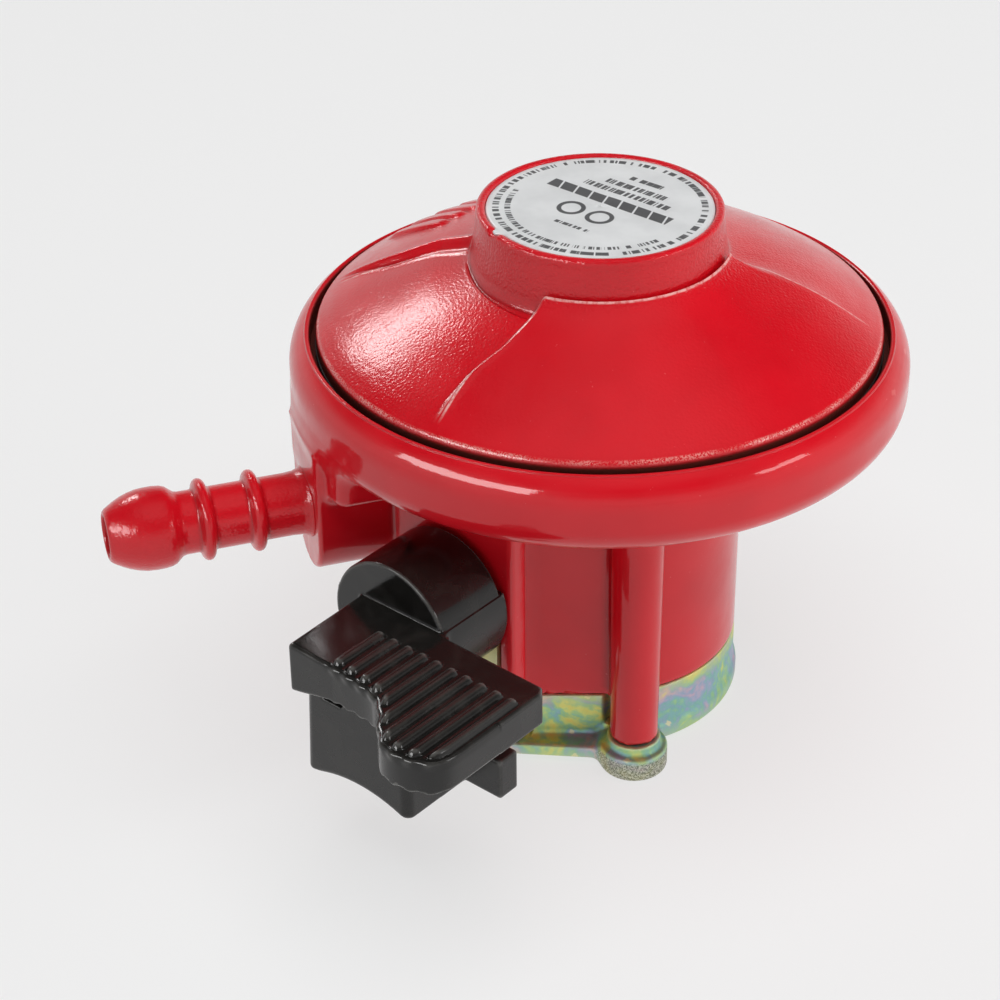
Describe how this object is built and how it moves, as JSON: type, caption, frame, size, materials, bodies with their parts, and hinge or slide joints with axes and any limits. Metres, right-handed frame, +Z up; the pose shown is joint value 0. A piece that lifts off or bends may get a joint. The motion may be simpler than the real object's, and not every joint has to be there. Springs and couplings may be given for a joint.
{
  "type": "gas regulator",
  "caption": "Clip-on low-pressure gas regulator with a domed bonnet, a barbed hose tail, a turning on/off lever and a plated steel base with feet.",
  "frame": {"origin": "centre of the 27 mm inlet bore at the underside of the base plate", "axes": "+Z up along the body axis towards the rating disc; -X along the hose tail, away from the body; the lever's shaft points outward 31.6 degrees round from -X towards -Y"},
  "size_m": [0.1064, 0.0931, 0.072],
  "materials": {
    "red_paint": "gloss red enamel on die-cast zinc",
    "passivated_steel": "yellow passivated zinc plate",
    "bright_steel": "bright",
    "aluminium": "satin",
    "brass": "machined",
    "rubber": "matt",
    "black_plastic": "gloss black moulding"
  },
  "bodies": {
    "housing": {"lower_body": "red_paint", "hose_nozzle": "red_paint", "base_plate": "passivated_steel", "base_screws": "bright_steel", "bonnet": "red_paint", "rating_disc": "aluminium", "adjuster_plug": "brass", "main_spring": "bright_steel", "diaphragm": "rubber", "rocker_pin": "bright_steel", "valve_jet": "brass", "inlet_filter": "brass", "inlet_bush": "brass", "inlet_seal": "rubber", "probe_oring": "rubber", "shaft_pin": "bright_steel", "lock_spring": "bright_steel"},
    "lever": {"lever": "black_plastic", "lever_shaft": "bright_steel", "shaft_oring": "rubber"},
    "probe": {"probe": "brass"},
    "lock": {"lock_slide": "passivated_steel"},
    "diaphragm_stack": {"spring_plate": "aluminium", "diaphragm_stem": "brass", "stem_nut": "bright_steel", "stem_washer": "bright_steel"},
    "rocker": {"rocker_arm": "bright_steel", "valve_pad": "rubber"}
  },
  "joints": [
    {"name": "lever_turn", "type": "hinge", "parent": "housing", "child": "lever", "pos_m": [-0.02981, -0.01834, 0.028], "axis": [0.8517, 0.524, 0], "range_deg": [0, 90]},
    {"name": "probe_slide", "type": "slide", "parent": "housing", "child": "probe", "axis": [0, 0, -1], "range_m": [0, 0.00354]},
    {"name": "lock_shift", "type": "slide", "parent": "housing", "child": "lock", "axis": [0.8517, 0.524, 0], "range_m": [0, 0.00141], "deforming": ["lock_spring"]},
    {"name": "diaphragm_lift", "type": "slide", "parent": "housing", "child": "diaphragm_stack", "axis": [0, 0, 1], "range_m": [0, 0.0016], "stiffness_N_per_m": 900, "springref_m": -0.009, "deforming": ["main_spring", "diaphragm"]},
    {"name": "rocker_tilt", "type": "hinge", "parent": "housing", "child": "rocker", "pos_m": [0.008, 0, 0.049], "axis": [0, 1, 0], "range_deg": [0, 11.56]}
  ],
  "couplings": [
    {"joint": "probe_slide", "follows": "lever_turn", "m_per_rad": 0.0022508},
    {"joint": "lock_shift", "follows": "lever_turn", "m_per_rad": 0.00089127},
    {"joint": "rocker_tilt", "follows": "diaphragm_lift", "rad_per_m": 125.85}
  ]
}
